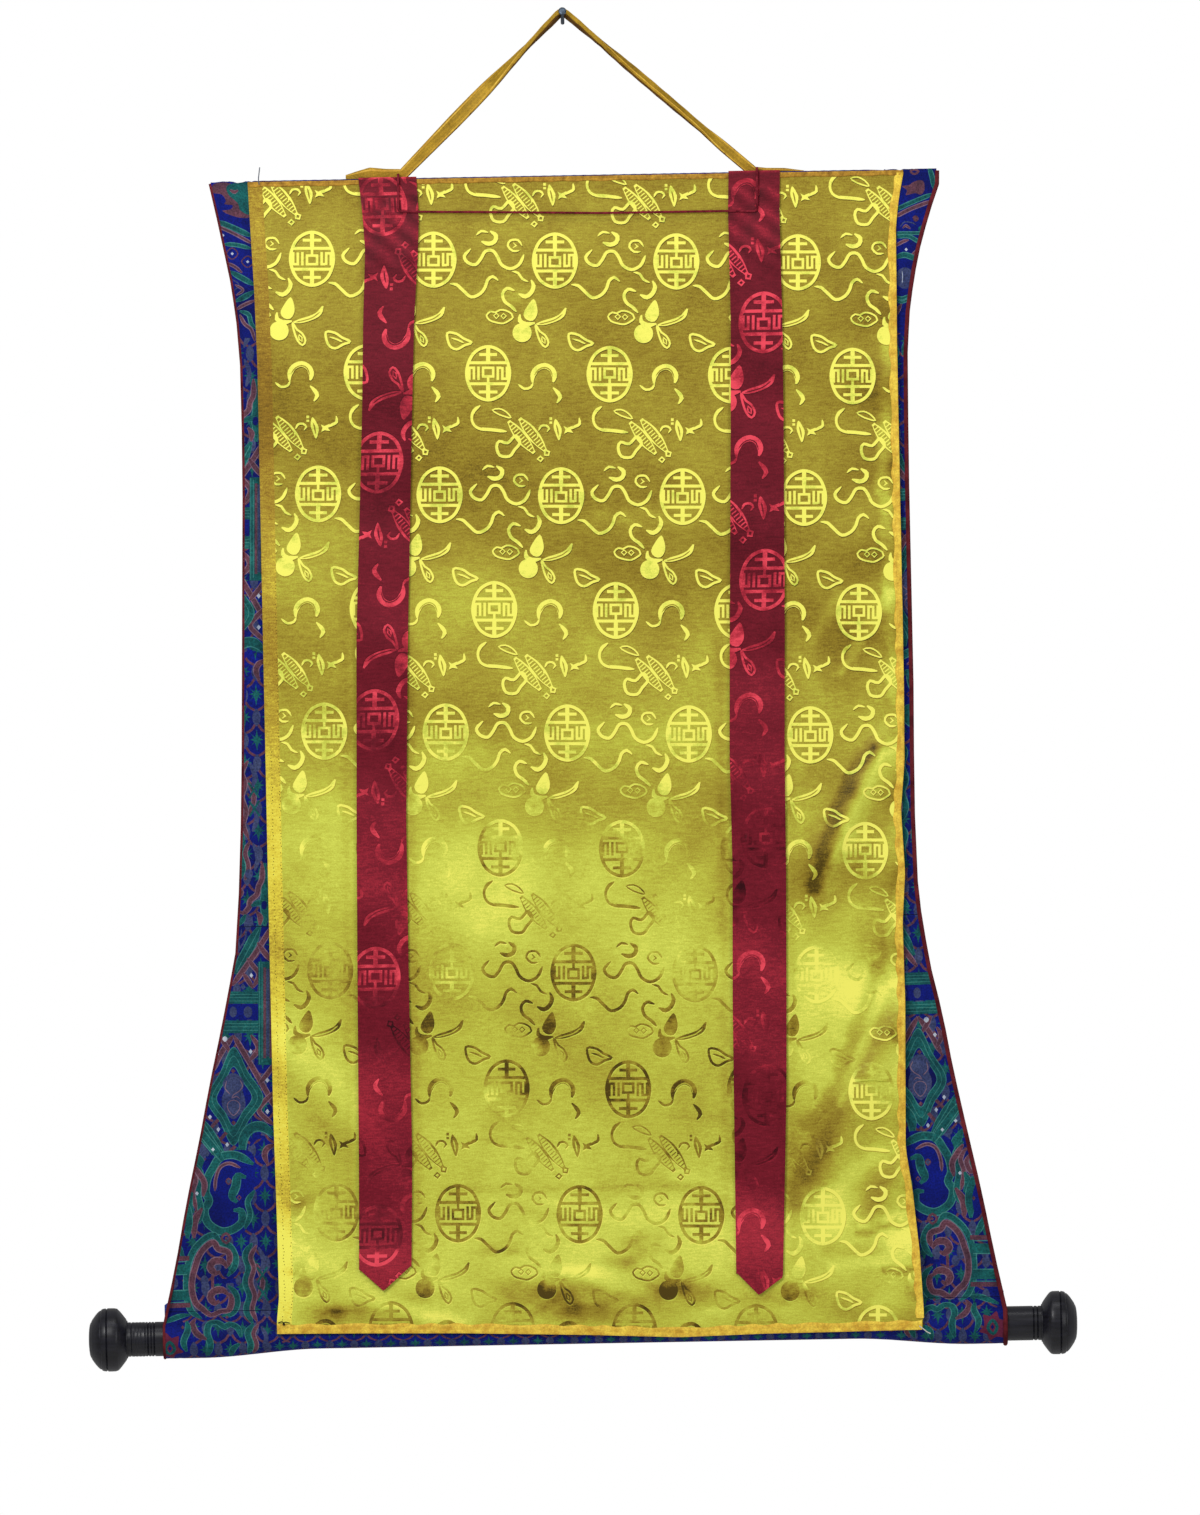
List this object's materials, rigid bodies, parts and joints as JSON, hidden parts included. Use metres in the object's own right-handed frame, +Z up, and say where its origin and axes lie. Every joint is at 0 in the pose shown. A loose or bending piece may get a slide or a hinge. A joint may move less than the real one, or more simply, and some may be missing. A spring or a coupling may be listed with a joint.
{
  "type": "thangka scroll painting on a wall nail",
  "caption": "Tibetan thangka scroll with its yellow silk veil down, two crimson ribbons, blue brocade mount, dark turned rod knobs, strap and nail.",
  "frame": {"origin": "point where the nail enters the wall", "axes": "+Z up, +Y into the wall, +X to the right of someone facing the scroll; the scroll hangs at y below 0"},
  "size_m": [0.8894, 0.0591, 1.22],
  "materials": {
    "brocade": "royal blue silk brocade with teal and terracotta clouds",
    "piping": "matte maroon binding",
    "veil_silk": "thin yellow silk damask",
    "ribbon_silk": "crimson silk damask",
    "strap_silk": "folded golden silk",
    "cord": "twisted maroon cord",
    "dark_wood": "dark stained turned wood",
    "bare_wood": "plain dowel inside the sleeve",
    "nail_steel": "dark grey steel"
  },
  "bodies": {
    "root": {"brocade_mount": "brocade", "edge_piping_left": "piping", "edge_piping_right": "piping", "veil": "veil_silk", "ribbon_left": "ribbon_silk", "ribbon_right": "ribbon_silk", "hanging_strap": "strap_silk", "tie_cord": "cord", "bottom_rod": "bare_wood", "knob_left": "dark_wood", "knob_right": "dark_wood", "wall_nail": "nail_steel"}
  },
  "joints": []
}
